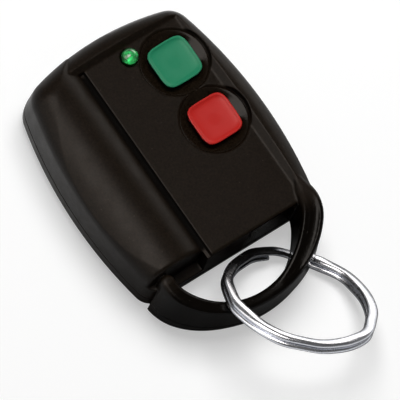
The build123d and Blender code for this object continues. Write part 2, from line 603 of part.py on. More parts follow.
# Rear shell: pan with a lip inside the front shell's wall
with BuildPart() as rear_shell:
    with BuildSketch(Plane.XY.offset(PARTING_Z)):
        add(body_outline())
    extrude(amount=-PARTING_Z, taper=DRAFT)
    fillet(rear_shell.edges().group_by(Axis.Z)[0], BACK_EDGE_RADIUS)
    chamfer(rear_shell.edges().group_by(Axis.Z)[-1], SEAM_CHAMFER)
    add(split(loop_bar.part, Plane.XY.offset(PARTING_Z), Keep.BOTTOM, mode=Mode.PRIVATE))
    add(split(nose_post.part, Plane.XY.offset(PARTING_Z), Keep.BOTTOM, mode=Mode.PRIVATE))
    with BuildSketch(Plane.XY.offset(PARTING_Z)):
        add(cavity_outline(LIP_CLEARANCE))
        add(cavity_outline(LIP_CLEARANCE + LIP_THICKNESS), mode=Mode.SUBTRACT)
    extrude(amount=LIP_HEIGHT)
    with BuildSketch(Plane.XY.offset(SHELL_WALL)):
        add(cavity_outline(LIP_CLEARANCE + LIP_THICKNESS))
    extrude(amount=PARTING_Z - SHELL_WALL, mode=Mode.SUBTRACT)
    # Posts for the board and the screws, cradles and a wall for the battery
    with Locations(*((x, y, SHELL_WALL) for x, y in POST_SPOTS)):
        Cylinder(POST_RADIUS, BOARD_BOTTOM_Z - SHELL_WALL, align=UPWARD)
    with Locations(*((x, y, SHELL_WALL) for x, y in SCREW_SPOTS)):
        Cylinder(BOSS_RADIUS, POST_TOP_Z - SHELL_WALL, align=UPWARD)
    with Locations(*((BATTERY_X, y, SHELL_WALL) for y in CRADLE_YS)):
        Box(2 * CONTACT_RADIUS, CRADLE_THICKNESS, CRADLE_TOP_Z - SHELL_WALL,
            align=(Align.CENTER, Align.CENTER, Align.MIN))
    with Locations((BATTERY_X, BAY_TOP_Y, SHELL_WALL)):
        Box(PARTITION_WIDTH, PARTITION_THICKNESS, POST_TOP_Z - SHELL_WALL,
            align=(Align.CENTER, Align.MIN, Align.MIN))
    with BuildSketch(Plane.XZ.offset(-BAY_END_Y)):
        with Locations((BATTERY_X, BATTERY_AXIS_Z)):
            Circle(BAY_RADIUS)
    extrude(amount=BAY_END_Y - BATTERY_TOP_Y - BATTERY_CLEARANCE, mode=Mode.SUBTRACT)
    with BuildSketch(Plane.XZ.offset(-BAY_END_Y)):
        with Locations((BATTERY_X, BATTERY_AXIS_Z)):
            Circle(CONTACT_RADIUS + CONTACT_CLEARANCE)
    extrude(amount=BAY_END_Y - BAY_TOP_Y, mode=Mode.SUBTRACT)
    with Locations((BATTERY_X, BAY_END_Y, PARTING_Z)):
        Box(STRIP_X + CONTACT_THICKNESS + CONTACT_CLEARANCE - BATTERY_X, NEGATIVE_FOOT_Y - BAY_END_Y, REACH,
            align=(Align.MIN, Align.MIN, Align.MIN), mode=Mode.SUBTRACT)
    # Screw holes with recesses for the heads
    with Locations(*((x, y, 0) for x, y in SCREW_SPOTS)):
        Cylinder(SCREW_SHANK_RADIUS + SCREW_CLEARANCE, POST_TOP_Z, align=UPWARD, mode=Mode.SUBTRACT)
        Cylinder(SCREW_RECESS_RADIUS, SCREW_RECESS_DEPTH, align=UPWARD, mode=Mode.SUBTRACT)

save(rear_shell.part, "rear_shell")


def push_button(y, name):
    """Square key with a dished top, hollow behind, on a flange that keeps it in the shell."""
    rim_z = BUTTON_TOP_Z - BUTTON_DISH
    dish = BUTTON_SIZE - 2 * BUTTON_BORDER
    dish_floor = dish - 2 * BUTTON_SLOPE
    with BuildPart() as button:
        with BuildSketch(Plane.XY.offset(FLANGE_UNDER_Z)):
            with Locations((BUTTON_X, y)):
                RectangleRounded(BUTTON_FLANGE, BUTTON_FLANGE, BUTTON_FLANGE_CORNER)
        extrude(amount=BUTTON_FLANGE_THICKNESS)
        with BuildSketch(Plane.XY.offset(FLANGE_UNDER_Z)):
            with Locations((BUTTON_X, y)):
                add(button_outline(BUTTON_SIZE, BUTTON_CORNER))
        extrude(amount=BUTTON_TOP_Z - FLANGE_UNDER_Z)
        fillet(button.faces().sort_by(Axis.Z)[-1].edges(), BUTTON_EDGE)
        with BuildSketch(Plane.XY.offset(rim_z)):
            with Locations((BUTTON_X, y)):
                add(button_outline(dish_floor, BUTTON_CORNER - BUTTON_SLOPE))
        with BuildSketch(Plane.XY.offset(BUTTON_TOP_Z)):
            with Locations((BUTTON_X, y)):
                add(button_outline(dish, BUTTON_CORNER - BUTTON_BORDER / 2))
        loft(mode=Mode.SUBTRACT)
        with Locations((BUTTON_X, y, FLANGE_UNDER_Z)):
            Box(BUTTON_HOLLOW, BUTTON_HOLLOW, rim_z - BUTTON_ROOF - FLANGE_UNDER_Z, align=UPWARD,
                mode=Mode.SUBTRACT)
            Cylinder(BUTTON_STEM_RADIUS, rim_z - FLANGE_UNDER_Z - BUTTON_ROOF / 2, align=UPWARD)
    save(button.part, name)


push_button(GREEN_Y, "green_button")
push_button(RED_Y, "red_button")


# Signal lamp and its two leads
with BuildPart() as lamp:
    with Locations((LED_X, LED_Y, LED_BOTTOM_Z)):
        Cylinder(LED_FLANGE_RADIUS, LED_FLANGE_THICKNESS, align=UPWARD)
        Cylinder(LED_RADIUS, LED_LENGTH - LED_RADIUS, align=UPWARD)
    with Locations((LED_X, LED_Y, LED_TOP_Z - LED_RADIUS)):
        Sphere(LED_RADIUS)

with BuildPart() as lamp_leads:
    with Locations(*((LED_X + way * LEAD_PITCH / 2, LED_Y, TAIL_Z) for way in (-1, 1))):
        Box(LEAD_SIZE, LEAD_SIZE, LED_BOTTOM_Z - TAIL_Z, align=UPWARD)

save(lamp.part, "signal_lamp")
save(lamp_leads.part, "lamp_leads")


# Circuit board
with BuildPart() as circuit_board:
    with BuildSketch(Plane.XY.offset(BOARD_BOTTOM_Z)) as board_outline:
        with Locations(((BOARD_LEFT_X + BOARD_RIGHT_X) / 2, (BOARD_END_Y + BOARD_TOP_Y) / 2)):
            Rectangle(BOARD_RIGHT_X - BOARD_LEFT_X, BOARD_TOP_Y - BOARD_END_Y)
        fillet(board_outline.vertices().group_by(Axis.X)[-1], BOARD_CORNER)
        with Locations((BOARD_NOTCH_X, BOARD_NOTCH_Y)):
            Rectangle(REACH, REACH, align=(Align.MAX, Align.MIN), mode=Mode.SUBTRACT)
        with Locations(SCREW_SPOTS[0]):
            Circle(BOARD_BAY_RADIUS, mode=Mode.SUBTRACT)
        with Locations(*((LED_X + way * LEAD_PITCH / 2, LED_Y) for way in (-1, 1))):
            Circle(LEAD_HOLE_RADIUS, mode=Mode.SUBTRACT)
        with Locations((ANTENNA_X, ANTENNA_START_Y), (ANTENNA_X, ANTENNA_END_Y)):
            Circle(ANTENNA_HOLE_RADIUS, mode=Mode.SUBTRACT)
    extrude(amount=BOARD_THICKNESS)

save(circuit_board.part, "circuit_board")


# Push switches: body, plunger and snap dome under each button
def dome_point(x, lift):
    """Point of the dome's arc at x, lifted by lift."""
    curve = (DOME_RADIUS**2 + DOME_RISE**2) / (2 * DOME_RISE)
    return x, CHAMBER_FLOOR_Z + DOME_RISE - curve + math.sqrt(curve**2 - x**2) + lift


with BuildPart() as switch_body:
    with Locations((0, 0, BOARD_TOP_Z)):
        Box(SWITCH_SIZE, SWITCH_SIZE, SWITCH_HEIGHT, align=UPWARD)
    with Locations((0, 0, CHAMBER_FLOOR_Z)):
        Cylinder(SWITCH_CHAMBER_RADIUS, SWITCH_CHAMBER_HEIGHT, align=UPWARD, mode=Mode.SUBTRACT)
        Cylinder(PLUNGER_RADIUS + PLUNGER_CLEARANCE, SWITCH_HEIGHT, align=UPWARD, mode=Mode.SUBTRACT)

with BuildPart() as switch_plunger:
    with Locations((0, 0, CHAMBER_TOP_Z - PLUNGER_FLANGE_THICKNESS)):
        Cylinder(PLUNGER_FLANGE_RADIUS, PLUNGER_FLANGE_THICKNESS, align=UPWARD)
        Cylinder(PLUNGER_RADIUS, FLANGE_UNDER_Z - CHAMBER_TOP_Z + PLUNGER_FLANGE_THICKNESS, align=UPWARD)

with BuildPart() as switch_dome:
    with BuildSketch(Plane.XZ):
        with BuildLine():
            Polyline(dome_point(0, 0), dome_point(0, DOME_THICKNESS))
            ThreePointArc(dome_point(0, DOME_THICKNESS), dome_point(DOME_RADIUS / 2, DOME_THICKNESS),
                          dome_point(DOME_RADIUS, DOME_THICKNESS))
            Polyline(dome_point(DOME_RADIUS, DOME_THICKNESS), dome_point(DOME_RADIUS, 0))
            ThreePointArc(dome_point(DOME_RADIUS, 0), dome_point(DOME_RADIUS / 2, 0), dome_point(0, 0))
        make_face()
    revolve(axis=Axis.Z)

for name, y in (("green", GREEN_Y), ("red", RED_Y)):
    place = Location((BUTTON_X, y, 0))
    save(place * switch_body.part, name + "_switch_body")
    save(place * switch_plunger.part, name + "_switch_plunger")
    save(place * switch_dome.part, name + "_switch_dome")


# Parts soldered to the board
def tongue(width, reach, rise):
    """Bent metal tongue that runs down a part's side and out over the board, along X."""
    with BuildPart() as bent:
        with Locations((0, 0, BOARD_TOP_Z)):
            Box(TERMINAL_THICKNESS, width, rise, align=(Align.MIN, Align.CENTER, Align.MIN))
            Box(reach, width, TERMINAL_THICKNESS, align=(Align.MIN, Align.CENTER, Align.MIN))
    return bent.part


with BuildPart() as switch_terminals:
    for y in BUTTON_YS:
        for row in (-SWITCH_TERMINAL_SPREAD / 2, SWITCH_TERMINAL_SPREAD / 2):
            with Locations(Location((BUTTON_X + SWITCH_SIZE / 2, y + row, 0)),
                           Location((BUTTON_X - SWITCH_SIZE / 2, y + row, 0), (0, 0, 180))):
                add(tongue(SWITCH_TERMINAL_WIDTH, SWITCH_TERMINAL_REACH, SWITCH_TERMINAL_RISE))

with BuildPart() as encoder_chip:
    with Locations((ENCODER_X, ENCODER_Y, BOARD_TOP_Z + ENCODER_STANDOFF)):
        Box(*ENCODER_SIZE, align=UPWARD)
    chamfer(encoder_chip.faces().sort_by(Axis.Z)[-1].edges(), ENCODER_STANDOFF)

with BuildPart() as encoder_leads:
    for pin in range(ENCODER_PINS):
        y = ENCODER_Y + (pin - (ENCODER_PINS - 1) / 2) * ENCODER_PITCH
        with Locations(Location((ENCODER_X + ENCODER_SIZE[0] / 2, y, 0)),
                       Location((ENCODER_X - ENCODER_SIZE[0] / 2, y, 0), (0, 0, 180))):
            add(tongue(ENCODER_LEAD_WIDTH, ENCODER_LEAD_REACH, ENCODER_LEAD_RISE))

with BuildPart() as resonator:
    with Locations((RESONATOR_X, RESONATOR_Y, BOARD_TOP_Z)):
        Cylinder(RESONATOR_RIM_RADIUS, RESONATOR_RIM_THICKNESS, align=UPWARD)
        Cylinder(RESONATOR_RADIUS, RESONATOR_HEIGHT, align=UPWARD)
    fillet(resonator.edges().group_by(Axis.Z)[-1], RESONATOR_RIM_THICKNESS)

with BuildPart() as trimmer_base:
    with Locations((TRIMMER_X, TRIMMER_Y, BOARD_TOP_Z)):
        Cylinder(TRIMMER_RADIUS, TRIMMER_HEIGHT, align=UPWARD)
    with Locations((TRIMMER_X, TRIMMER_Y, BOARD_TOP_Z + TRIMMER_HEIGHT - ROTOR_SINK)):
        Cylinder(ROTOR_RADIUS + ROTOR_CLEARANCE, ROTOR_SINK, align=UPWARD, mode=Mode.SUBTRACT)

with BuildPart() as trimmer_rotor:
    with Locations((TRIMMER_X, TRIMMER_Y, BOARD_TOP_Z + TRIMMER_HEIGHT - ROTOR_SINK)):
        Cylinder(ROTOR_RADIUS, ROTOR_SINK + ROTOR_RISE, align=UPWARD)
    with Locations((TRIMMER_X, TRIMMER_Y, BOARD_TOP_Z + TRIMMER_HEIGHT + ROTOR_RISE)):
        Box(*ROTOR_SLOT, align=(Align.CENTER, Align.CENTER, Align.MAX), mode=Mode.SUBTRACT)

with BuildPart() as resistors:
    with Locations(*((x, y, BOARD_TOP_Z) for x, y in RESISTOR_SPOTS)):
        Box(*CHIP_SIZE, align=UPWARD)

with BuildPart() as capacitors:
    with Locations(*((x, y, BOARD_TOP_Z) for x, y in CAPACITOR_SPOTS)):
        Box(CHIP_SIZE[0], CHIP_SIZE[1], CAPACITOR_HEIGHT, align=UPWARD)

with BuildPart() as transistor:
    with Locations((TRANSISTOR_X, TRANSISTOR_Y, BOARD_TOP_Z)):
        Box(*TRANSISTOR_SIZE, align=UPWARD)

with BuildPart() as transistor_leads:
    for x, way in TRANSISTOR_LEADS:
        with Locations(Location((TRANSISTOR_X + x, TRANSISTOR_Y + way * TRANSISTOR_SIZE[1] / 2, 0),
                                (0, 0, way * 90))):
            add(tongue(TRANSISTOR_LEAD_WIDTH, TRANSISTOR_LEAD_REACH, TRANSISTOR_LEAD_RISE))

with BuildPart() as antenna_wire:
    with BuildLine(Plane.YZ.offset(ANTENNA_X)):
        FilletPolyline((ANTENNA_START_Y, TAIL_Z), (ANTENNA_START_Y, BOARD_TOP_Z + ANTENNA_HEIGHT),
                       (ANTENNA_END_Y, BOARD_TOP_Z + ANTENNA_HEIGHT), (ANTENNA_END_Y, TAIL_Z),
                       radius=ANTENNA_BEND)
    with BuildSketch(Plane.XY.offset(TAIL_Z)):
        with Locations((ANTENNA_X, ANTENNA_START_Y)):
            Circle(ANTENNA_RADIUS)
    sweep()

save(switch_terminals.part, "switch_terminals")
save(encoder_chip.part, "encoder_chip")
save(encoder_leads.part, "encoder_leads")
save(resonator.part, "saw_resonator")
save(trimmer_base.part, "trimmer_base")
save(trimmer_rotor.part, "trimmer_rotor")
save(resistors.part, "chip_resistors")
save(capacitors.part, "chip_capacitors")
save(transistor.part, "rf_transistor")
save(transistor_leads.part, "transistor_leads")
save(antenna_wire.part, "antenna_wire")


# Battery: crimped case and raised end cap
with BuildPart() as battery:
    with BuildSketch(Plane.XZ.offset(-BATTERY_END_Y)):
        with Locations((BATTERY_X, BATTERY_AXIS_Z)):
            Circle(BATTERY_RADIUS)
    extrude(amount=-BATTERY_LENGTH)
    fillet(battery.edges().filter_by(GeomType.CIRCLE), BATTERY_CRIMP)

with BuildPart() as battery_cap:
    with BuildSketch(Plane.XZ.offset(-BATTERY_TOP_Y)):
        with Locations((BATTERY_X, BATTERY_AXIS_Z)):
            Circle(BATTERY_NUB_RADIUS)
    extrude(amount=-BATTERY_NUB_LENGTH)
    fillet(battery_cap.edges().group_by(Axis.Y)[-1], BATTERY_CRIMP / 2)

save(battery.part, "battery")
save(battery_cap.part, "battery_cap")


def contact(plate_y, foot_y, name):
    """Plate behind a battery end, with a strip along the battery to a foot on the board."""
    start_y = min(plate_y, foot_y)
    end_y = max(plate_y + CONTACT_THICKNESS, foot_y + CONTACT_FOOT_WIDTH)
    tab_x = STRIP_X + CONTACT_THICKNESS
    with BuildPart() as piece:
        with BuildSketch(Plane.XZ.offset(-plate_y)):
            with Locations((BATTERY_X, BATTERY_AXIS_Z)):
                Circle(CONTACT_RADIUS)
            with Locations((BATTERY_X, CONTACT_LOW_Z)):
                Rectangle(REACH, REACH, align=(Align.CENTER, Align.MAX), mode=Mode.SUBTRACT)
            with Locations((tab_x, BOARD_TOP_Z)):
                Rectangle(tab_x - BATTERY_X, CONTACT_TAB_HEIGHT, align=(Align.MAX, Align.MIN))
        extrude(amount=-CONTACT_THICKNESS)
        with Locations((STRIP_X, start_y, BOARD_TOP_Z)):
            Box(CONTACT_THICKNESS, end_y - start_y, CONTACT_TAB_HEIGHT, align=CORNER)
        with Locations((STRIP_X, foot_y, BOARD_TOP_Z)):
            Box(CONTACT_FOOT_LENGTH, CONTACT_FOOT_WIDTH, CONTACT_THICKNESS, align=CORNER)
    save(piece.part, name)


contact(NUB_TOP_Y, POSITIVE_FOOT_Y, "positive_contact")
contact(BAY_END_Y, NEGATIVE_FOOT_Y, "negative_contact")


# Coil spring between the battery's flat end and its contact
def coil_point(quarter):
    """Point and direction of the spring's wire after some quarter turns."""
    turn = quarter * math.pi / 2
    rise = SPRING_PITCH / (2 * math.pi)
    place = Vector(BATTERY_X + SPRING_RADIUS * math.cos(turn),
                   SPRING_END_Y + SPRING_WIRE_RADIUS + SPRING_SEAT_GAP + rise * turn,
                   BATTERY_AXIS_Z + SPRING_RADIUS * math.sin(turn))
    way = Vector(-SPRING_RADIUS * math.sin(turn), rise, SPRING_RADIUS * math.cos(turn))
    return place, way.normalized()


with BuildPart() as battery_spring:
    with BuildLine() as spring_path:
        for quarter in range(SPRING_QUARTER_TURNS):
            for arc in biarc(*coil_point(quarter), *coil_point(quarter + 1)):
                ThreePointArc(*arc)
    with BuildSketch(Plane(origin=coil_point(0)[0], z_dir=coil_point(0)[1])):
        Circle(SPRING_WIRE_RADIUS)
    sweep()

samples = 12 * SPRING_QUARTER_TURNS
wire = spring_path.wires()[0]
beads = [wire @ (step / samples) for step in range(samples + 1)]
spring_gap = min((beads[a] - beads[b]).length for a in range(len(beads))
                 for b in range(a + 24, len(beads))) - 2 * SPRING_WIRE_RADIUS
print(f"battery_spring: least gap to itself {spring_gap:.2f} mm")
save(battery_spring.part, "battery_spring")


# Case screws, driven in from the back
with BuildPart() as case_screws:
    for x, y in SCREW_SPOTS:
        with Locations((x, y, SCREW_RECESS_DEPTH)):
            Cylinder(SCREW_SHANK_RADIUS, SCREW_END_Z - SCREW_RECESS_DEPTH, align=UPWARD)
            Cylinder(SCREW_HEAD_RADIUS, SCREW_HEAD_THICKNESS,
                     align=(Align.CENTER, Align.CENTER, Align.MAX))
        with Locations((x, y, SCREW_RECESS_DEPTH - SCREW_HEAD_THICKNESS)):
            Box(SCREW_SLOT, SCREW_SLOT_LENGTH, SCREW_SLOT, align=UPWARD, mode=Mode.SUBTRACT)
            Box(SCREW_SLOT_LENGTH, SCREW_SLOT, SCREW_SLOT, align=UPWARD, mode=Mode.SUBTRACT)

save(case_screws.part, "case_screws")


# Split ring: one flattened wire in two turns that lie on each other
def wire_section(angle, height):
    """Section of the ring's wire at an angle round the ring, in the ring's own frame."""
    turn = math.radians(angle)
    out = Vector(math.cos(turn), math.sin(turn), 0)
    along = (-math.sin(turn), math.cos(turn), 0)
    with BuildSketch(Plane(out * RING_MEAN_RADIUS + Vector(0, 0, height), x_dir=out, z_dir=along)) as section:
        RectangleRounded(RING_OUTER_RADIUS - RING_INNER_RADIUS, RING_TURN_THICKNESS, RING_EDGE)
    return section.sketch


ramp_sections = []
for step in range(RING_RAMP_STEPS + 1):
    share = step / RING_RAMP_STEPS
    climb = share * share * (3 - 2 * share) - 0.5
    ramp_sections.append(wire_section(RING_END_ANGLE - RING_RAMP_ANGLE * (1 - share), climb * RING_STEP))

with BuildPart() as flat_ring:
    revolve(wire_section(RING_END_ANGLE, -RING_STEP / 2), Axis.Z, 360 - RING_RAMP_ANGLE)
    revolve(wire_section(RING_END_ANGLE, RING_STEP / 2), Axis.Z, 360 - RING_RAMP_ANGLE)
    loft(ramp_sections)

ring_axis = Vector(*RING_AXIS)
ring_place = Plane(origin=RING_CENTRE, x_dir=Vector(0, 0, 1).cross(ring_axis), z_dir=ring_axis)
save(ring_place.location * flat_ring.part, "split_ring")
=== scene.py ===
"""Key-ring remote transmitter on a white table: materials, fine shapes, light and camera."""

import json
import math

import bpy
from mathutils import Matrix, Vector


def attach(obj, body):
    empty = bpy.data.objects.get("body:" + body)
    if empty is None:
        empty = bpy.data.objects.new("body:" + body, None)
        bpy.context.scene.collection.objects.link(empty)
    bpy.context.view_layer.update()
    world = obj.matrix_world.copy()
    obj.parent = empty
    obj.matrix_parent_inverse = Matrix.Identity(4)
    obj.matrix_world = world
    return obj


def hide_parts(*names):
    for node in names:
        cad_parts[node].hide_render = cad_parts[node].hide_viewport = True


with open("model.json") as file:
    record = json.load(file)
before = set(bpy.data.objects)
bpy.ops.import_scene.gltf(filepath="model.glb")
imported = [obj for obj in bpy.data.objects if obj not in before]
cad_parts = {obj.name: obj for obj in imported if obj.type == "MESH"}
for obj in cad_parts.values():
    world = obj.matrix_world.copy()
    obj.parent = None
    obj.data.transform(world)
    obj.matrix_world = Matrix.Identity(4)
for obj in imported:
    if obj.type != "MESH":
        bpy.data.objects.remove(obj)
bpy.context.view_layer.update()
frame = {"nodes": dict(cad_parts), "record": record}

NODES = frame["nodes"]
MM = 0.001

# Camera of the photograph: its right, up and backward directions, aim, reach and width of view
CAMERA_RIGHT = Vector((0.80455, -0.56543, 0.18162))
CAMERA_UP = Vector((0.49264, 0.80621, 0.32764))
CAMERA_BACK = Vector((-0.33168, -0.17413, 0.92719))
CAMERA_AIM = Vector((0.68, -11.15, 5.99)) * MM
CAMERA_DISTANCE = 2.5
CAMERA_NEAR = 0.01
CAMERA_FAR = 10
VIEW_WIDTH = 68.97 * MM

# Noises that every surface has, as cells per metre: blotches of colour and smears of gloss
BLOTCH_SCALE = 900
SMEAR_SCALE = 420
WAVE_DEPTH = 0.1 * MM
COAT_ROUGHNESS = 0.08

# Masks on the shells: an axis, the place in mm where the mask starts and where it is full
# Painted shade: the groove beside the ridge and the ridge's lower slope are darkened to near black
GROOVE_SHADE_EDGES = (("X", -6.8, -6.1), ("X", -5.34, -5.45), ("Y", -20.2, -19.5), ("Y", 17.5, 16.5),
               ("Z", 9.8, 10.3), ("Z", 12.7, 12.2))
POLISH_EDGES = (("X", 2.2, 2.8), ("X", 16.2, 15.6), ("Z", 11.9, 11.7))
# Painted shade: the key loop is darkened towards near black, and its gloss is smoothed
LOOP_EDGE = ("Y", -21.5, -24.5)
RIDGE_EDGE = ("Z", 12.1, 12.6)

# Noises of the shells, as cells per metre: tone and lint, moulded grain, and sink marks
MOTTLE_SCALE = 2600
GRAIN_SCALE = 5200
SINK_SCALE = 160
GRAIN_DEPTH = 0.02 * MM
SINK_DEPTH = 0.2 * MM

# Colours of the shells, and how much the masks change their colour, gloss and grain
BLACK_TONES = (0.0042, 0.0026, 0.0014), (0.0108, 0.0068, 0.004)
# Near-black colour of the painted shade in the groove beside the ridge and on the key loop
PAINTED_SHADE_TONE = (0.0012, 0.0008, 0.0005)
LINT_TONE = (0.06, 0.054, 0.047)
# How far the key loop is darkened towards the painted shade
LOOP_PAINTED_SHADE = 0.85
SHELL_ROUGHNESS = 0.34, 0.45
GROOVE_SHADE_ROUGHER = 0.55
POLISH_SMOOTHER = -0.19
RIDGE_GRAIN = 0.35
SHELL_SPECULAR = 0.11
KEY_SPECULAR = 0.16
KEY_ROUGHNESS = 0.34, 0.42
LAMP_CLEARNESS = 0.8
LAMP_IOR = 1.5

# Softening of the shells' edges
WELD_GAP = 0.004 * MM
SHELL_VOXEL = 0.16 * MM
SHELL_SMOOTHING = 0.5
SHELL_SMOOTHING_ROUNDS = 4

# Rows of the turned and moulded forms: half width, squareness (2 is round) and height, in mm
ROUND = 2
KEY_ROWS = ((0.02, ROUND, 9.0), (1.35, ROUND, 9.0), (1.4, ROUND, 9.06), (1.4, ROUND, 10.85),
            (1.5, ROUND, 10.95), (2.9, 9, 10.95), (3.0, 9, 10.85), (3.0, 9, 9.05), (3.05, 9, 9.0),
            (4.64, 9, 9.0), (4.7, 9, 9.06), (4.7, 9, 9.62), (4.64, 9, 9.7), (3.46, 6, 9.7),
            (3.4, 5.0, 9.76), (3.4, 5.0, 11.2), (3.58, 4.8, 11.5), (3.86, 4.6, 12.0),
            (3.98, 4.5, 12.2), (4.01, 4.5, 12.32), (3.97, 4.5, 12.42), (3.88, 4.5, 12.48),
            (3.78, 4.5, 12.495), (3.68, 4.5, 12.47), (3.58, 4.5, 12.4), (3.46, 4.4, 12.31),
            (3.3, 4.3, 12.23), (3.05, 4.2, 12.17), (2.6, 3.8, 12.12), (2.0, 3.2, 12.09),
            (1.3, 2.6, 12.07), (0.6, 2.2, 12.06), (0.02, ROUND, 12.06))
WELL_ROWS = ((3.66, 5.0, 10.8), (3.66, 5.0, 10.93), (3.74, 5.0, 10.97), (4.1, 4.4, 11.0),
             (4.5, 3.2, 11.1), (5.0, 2.3, 11.27), (5.5, ROUND, 11.47), (5.95, ROUND, 11.68),
             (6.08, ROUND, 11.7), (5.4, ROUND, 10.8))
CUP_ROWS = ((0.05, ROUND, 11.55), (0.45, ROUND, 11.6), (0.62, ROUND, 11.9), (0.95, ROUND, 12.25),
            (1.02, ROUND, 12.22), (0.8, ROUND, 11.8), (0.62, ROUND, 11.3), (0.6, ROUND, 9.8))
POST_ROWS = ((0.02, ROUND, 9.8), (0.16, ROUND, 9.85), (0.16, ROUND, 12.3), (0.1, ROUND, 12.4),
             (0.02, ROUND, 12.42))
POST_ASIDE = (1.12, -0.1)
KEY_POINTS = 96
CUP_POINTS = 40
POST_POINTS = 16

# Split ring, in mm and degrees: two turns of one wire that climbs from the first to the second
RING_CENTRE = Vector((4.07, -35.77, 8.95))
RING_AXIS = Vector((0.4336, 0.3826, 0.8158)).normalized()
RING_RIGHT = Vector((0, 0, 1)).cross(RING_AXIS).normalized()
RING_FAR = RING_AXIS.cross(RING_RIGHT)
RING_RADIUS = 12.94
RING_START = -59
RING_SWEEP = 684
RING_CLIMB_START = 324
RING_CLIMB = 36
RING_PITCH = 1.18

# Its wire: a flattened section that narrows at both ends
WIRE_HALF_WIDTH = 0.96
WIRE_HALF_THICKNESS = 0.585
WIDTH_SQUARENESS = 0.8
THICKNESS_SQUARENESS = 0.75
WIRE_END_WIDTH = 0.88
WIRE_END_THICKNESS = 0.8
WIRE_END_STEPS = 3
WIRE_STEPS = 342
WIRE_ROUND = 20

# Its unevenness as waves round the ring: size, number in a turn and start in radians
RING_DENTS = ((0.09, 5, 0.7), (0.08, 9, 2.1), (0.04, 14, 0))
RING_ROLLS = ((0.1, 4, 1.3), (0.08, 7, 0.4), (0.05, 11, 2))

# White table: half its side, its height, its whiteness, and its glow straight on and in mirrors
TABLE_REACH = 0.6
TABLE_Z = -0.02 * MM
TABLE_TONE = (0.62, 0.62, 0.62)
TABLE_GLOW = 0.44
TABLE_MIRRORED_GLOW = 0.4

# Painted shade in reflections: what the ring and the key loop mirror of the table is darker round this
# spot
LOOP_SPOT = Vector((8, -35, 0)) * MM
LOOP_SPOT_TONE = (0.2, 0.2, 0.2)
LOOP_SPOT_FADE = 28 * MM, 46 * MM
LOOP_SPOT_GLOW_FADE = 30 * MM, 56 * MM

# Sky: pale up to a low height and dim above it
SKY_COLOUR = (1, 0.99, 0.97)
HORIZON_LEVEL = 0.36
OVERHEAD_LEVEL = 0.1
SKY_FADE = 0.1, 0.35
MIRRORED_COLOUR = (1, 0.94, 0.88)


def new_material(name):
    """Empty material with its node tree and its shader."""
    material = bpy.data.materials.new(name)
    material.use_nodes = True
    tree = material.node_tree
    return material, tree, tree.nodes["Principled BSDF"]


def feed(tree, socket, value):
    """Link a socket to another node's output, or set it to a number or a colour."""
    if isinstance(value, bpy.types.NodeSocket):
        tree.links.new(value, socket)
    elif isinstance(value, tuple):
        socket.default_value = (*value, 1)
    else:
        socket.default_value = value


def maths(tree, operation, *values):
    """Result of a maths node, each value a number or another node's output."""
    node = tree.nodes.new("ShaderNodeMath")
    node.operation = operation
    for socket, value in zip(node.inputs, values):
        feed(tree, socket, value)
    return node.outputs[0]


def two_tone(tree, factor, first, second):
    """Colour that runs from first to second with the factor."""
    mix = tree.nodes.new("ShaderNodeMix")
    mix.data_type = "RGBA"
    feed(tree, mix.inputs["A"], first)
    feed(tree, mix.inputs["B"], second)
    tree.links.new(factor, mix.inputs["Factor"])
    return mix.outputs["Result"]


def noise(tree, scale, detail, rough):
    """Noise in the object's own metres, with so many cells per metre."""
    place = tree.nodes.new("ShaderNodeTexCoord")
    texture = tree.nodes.new("ShaderNodeTexNoise")
    texture.inputs["Scale"].default_value = scale
    texture.inputs["Detail"].default_value = detail
    texture.inputs["Roughness"].default_value = rough
    tree.links.new(place.outputs["Object"], texture.inputs["Vector"])
    return texture.outputs["Fac"]


def spread(tree, source, low, high, start=0.3, end=0.7):
    """Source mapped from start..end to low..high."""
    ranged = tree.nodes.new("ShaderNodeMapRange")
    ranged.inputs["From Min"].default_value = start
    ranged.inputs["From Max"].default_value = end
    ranged.inputs["To Min"].default_value = low
    ranged.inputs["To Max"].default_value = high
    tree.links.new(source, ranged.inputs["Value"])
    return ranged.outputs["Result"]


def bump(tree, height, strength, distance, below=None):
    """Bump from a height, over another bump where one is given."""
    node = tree.nodes.new("ShaderNodeBump")
    node.inputs["Strength"].default_value = strength
    node.inputs["Distance"].default_value = distance
    tree.links.new(height, node.inputs["Height"])
    if below is not None:
        tree.links.new(below, node.inputs["Normal"])
    return node.outputs["Normal"]


def surface(name, first, second, rough, metallic=0.0, grain=9000, grain_depth=0.006 * MM,
            grain_strength=0.25, wave=260, wave_strength=0.0, specular=0.5, coat=0.0):
    """Surface with mottled colour, uneven roughness and a fine grain."""
    material, tree, shader = new_material(name)
    shader.inputs["Metallic"].default_value = metallic
    shader.inputs["Specular IOR Level"].default_value = specular
    shader.inputs["Coat Weight"].default_value = coat
    shader.inputs["Coat Roughness"].default_value = COAT_ROUGHNESS
    blotches = noise(tree, BLOTCH_SCALE, 5.0, 0.6)
    tree.links.new(two_tone(tree, blotches, first, second), shader.inputs["Base Color"])
    smears = noise(tree, SMEAR_SCALE, 6.0, 0.65)
    tree.links.new(spread(tree, smears, *rough), shader.inputs["Roughness"])
    normal = bump(tree, noise(tree, grain, 2.0, 0.5), grain_strength, grain_depth)
    if wave_strength:
        normal = bump(tree, noise(tree, wave, 2.0, 0.5), wave_strength, WAVE_DEPTH, normal)
    tree.links.new(normal, shader.inputs["Normal"])
    return material


def fade(tree, axes, edge, low=0.0, high=1.0):
    """Value that runs from low to high over an edge."""
    axis, start, full = edge
    return spread(tree, axes.outputs[axis], low, high, start * MM, full * MM)


def mask(tree, axes, edges):
    """Value that is 1 inside all the edges and 0 outside them."""
    inside = fade(tree, axes, edges[0])
    for edge in edges[1:]:
        inside = maths(tree, "MULTIPLY", inside, fade(tree, axes, edge))
    return inside


